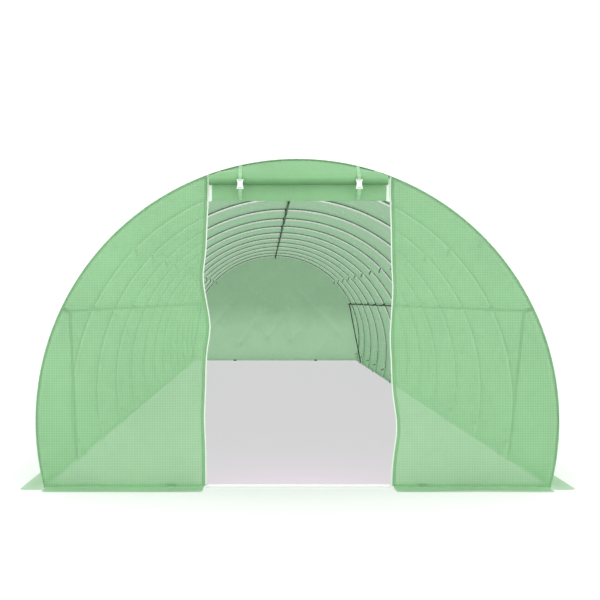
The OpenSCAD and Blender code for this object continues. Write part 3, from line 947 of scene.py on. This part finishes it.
def make_straps(side):
    """The tie strap down over the roll to its buckle, and the tail from the door's fold to the plug."""
    x = STRAP_X[side]
    top = float(arch_z(x))
    bar_z = buckle_low.z + 35 * MM
    down_front = over_roll(x, 3.5 * MM, (0.075, 0.11, 0.14, 0.16, 0.175))
    round_bar = [(1, 14), (3.6, 5), (0, -2.4), (-3.6, 5), (-1.6, 15)]
    path = [(FACE_Y - 2 * MM, top - 3 * MM), *down_front]
    path += [(BUCKLE_Y + y * MM, bar_z + z * MM) for y, z in round_bar]
    front = webbing("tie_strap_" + side, x, path)
    fix(front, "strap_webbing", "strap_front_" + side)
    plug_bar = PLUG_Z + 6 * MM
    tail_path = [
        (BUCKLE_Y - 3.4 * MM, plug_bar + 1 * MM),
        (BUCKLE_Y - 1 * MM, plug_bar - 8 * MM),
        (BUCKLE_Y + 12 * MM, FOLD_Z + 43 * MM),
        (BUCKLE_Y + 34 * MM, FOLD_Z + 26 * MM),
        (SLACK_FRONT - 22 * MM, FOLD_Z + 17 * MM),
        (PANEL_Y - 16 * MM, FOLD_Z + 13 * MM),
        (PANEL_Y - 9 * MM, FOLD_Z + 5 * MM),
    ]
    tail = webbing("strap_tail_web_" + side, x, tail_path)
    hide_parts("strap_tail_" + side)
    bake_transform(tail)


# ---------- carried-over CAD nodes ----------

FINISHES = {
    "galvanised_tube": "zinc",
    # painted shade: the dark tubes (ridge pole, purlins, braces) get a near-black finish for the shade they
    # sit in
    "dark_tube": "dark_steel",
    "galvanised_fitting": "zinc",
    "dark_fitting": "dark_steel",
    "wing_screw": "black_screw",
    "bolt": "dark_steel",
    "zip_metal": "nickel",
    "buckle_plastic": "white_plastic",
    "zip_stop": "white_plastic",
}

EASED = ("buckle_plastic", "zip_metal", "zip_stop")


def finish_cad():
    """Gives each carried-over node its material, and the small parts eased edges."""
    for part in frame["record"]["subparts"]:
        finish = FINISHES.get(part["material_slot"])
        if finish is None:
            continue
        if part["node"].startswith("hoop"):
            finish = "hoop_zinc"
        if part["node"].startswith("base_rail"):
            finish = "rail_zinc"
        node = nodes[part["node"]]
        node.data.materials.clear()
        node.data.materials.append(bpy.data.materials[finish])
        if part["material_slot"] in EASED:
            ease(node)


def ease(node):
    """Rounds the sharp edges of a small moulded or cast part."""
    edge = node.modifiers.new("eased_edges", "BEVEL")
    edge.width = 0.5 * MM
    edge.segments = 2
    edge.limit_method = "ANGLE"
    edge.angle_limit = math.radians(40)


def make_materials():
    # painted light and shade by height: each a dark height, a light height, the tint at the dark one and how
    # uneven the boundary is
    # painted shade: the rolled sheet darker towards its underside, where the roll turns away from the light
    roll_underside_shade = (roll_low.z, roll_low.z + 42 * MM, (0.38, 0.54, 0.38), 0)
    # painted light and shade: the back gable darker higher up and lighter low down, for the light from the
    # floor and the doorway
    back_light_and_shade = (1.05, 0.60, (0.70, 0.75, 0.70), 0.5)
    sheet_material("cover_film", (0.26, 0.52, 0.27), (0.34, 0.59, 0.36), 0.05, 0.35, on_uv=True,
                   crumple=0.8, rough=0.14)
    sheet_material("gable_film", (0.35, 0.67, 0.35), (0.41, 0.72, 0.41), 0.26, 0.35)
    sheet_material("back_film", (0.41, 0.65, 0.42), (0.49, 0.74, 0.50), 0.05, 0.35, crumple=0.9,
                   shade=back_light_and_shade)
    sheet_material("door_film", (0.36, 0.67, 0.36), (0.42, 0.72, 0.42), 0.10, 0.35)
    sheet_material("roll_film", (0.27, 0.56, 0.27), (0.36, 0.66, 0.36), 0.0, 0.15, on_uv=True,
                   shade=roll_underside_shade)
    sheet_material("skirt_film", (0.40, 0.67, 0.40), (0.44, 0.72, 0.44), 0.05, 0.20, on_uv=True)
    sheet_material("hem_film", (0.34, 0.64, 0.34), (0.40, 0.70, 0.40), 0.10, 0.35)
    webbing_material("hem_cord", (0.30, 0.58, 0.31), 1.2 * MM, on_uv=False)
    webbing_material("thread", (0.12, 0.30, 0.14), 0.6 * MM, on_uv=False)
    webbing_material("zip_tape", (0.80, 0.90, 0.81), 0.9 * MM)
    webbing_material("strap_web", (0.33, 0.64, 0.34), 1.6 * MM)
    plastic_material("zip_coil", (0.88, 0.94, 0.88), 0.4)
    plastic_material("white_plastic", (0.92, 0.93, 0.92), 0.35)
    metal_material("zinc", (0.92, 0.96, 0.92), (0.80, 0.84, 0.81), 1.0, 0.28, 0.3)
    metal_material("rail_zinc", (0.93, 0.96, 0.93), (0.84, 0.88, 0.84), 0.25, 0.35, 0.3)
    # hoops: painted shade on the side that faces the sheet
    metal_material("hoop_zinc", (0.92, 0.97, 0.92), (0.80, 0.85, 0.81), 1.0, 0.25, 0.3, (0.28, 0.36, 0.28))
    # near-black: dark fittings and bolts, and painted shade on the dark tubes
    metal_material("dark_steel", (0.045, 0.075, 0.052), (0.07, 0.10, 0.078), 0.2, 0.5, 0.2)
    metal_material("black_screw", (0.045, 0.085, 0.055), (0.07, 0.11, 0.08), 0.1, 0.5, 0.2)
    metal_material("nickel", (0.75, 0.76, 0.75), (0.60, 0.61, 0.60), 0.9, 0.3, 0.2)


make_camera()
make_world(1.3)
make_floor("studio_floor", 90, 90, -1.0 * MM, (0.75, 0.75, 0.75), 0.24)
# painted light: the patch under the tunnel glows, and its magenta tint cancels the green of the light through
# the sheet, so it reads as an even neutral grey
make_floor("tunnel_floor", hoop_high.x, -HOOP_Y, -0.5 * MM, (0.37, 0.215, 0.36), 0.55)
make_materials()
make_cover()
make_piping()
make_back_gable()
make_back_skirt()
make_door_top()
make_slack()
make_roll()
for side_name in SIDES:
    make_front_gable(side_name)
    make_side_skirt(side_name)
    make_front_skirt(side_name)
    make_zip(side_name)
    make_straps(side_name)
finish_cad()
bpy.context.scene.view_settings.view_transform = "Standard"

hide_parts("door_zip_tapes")
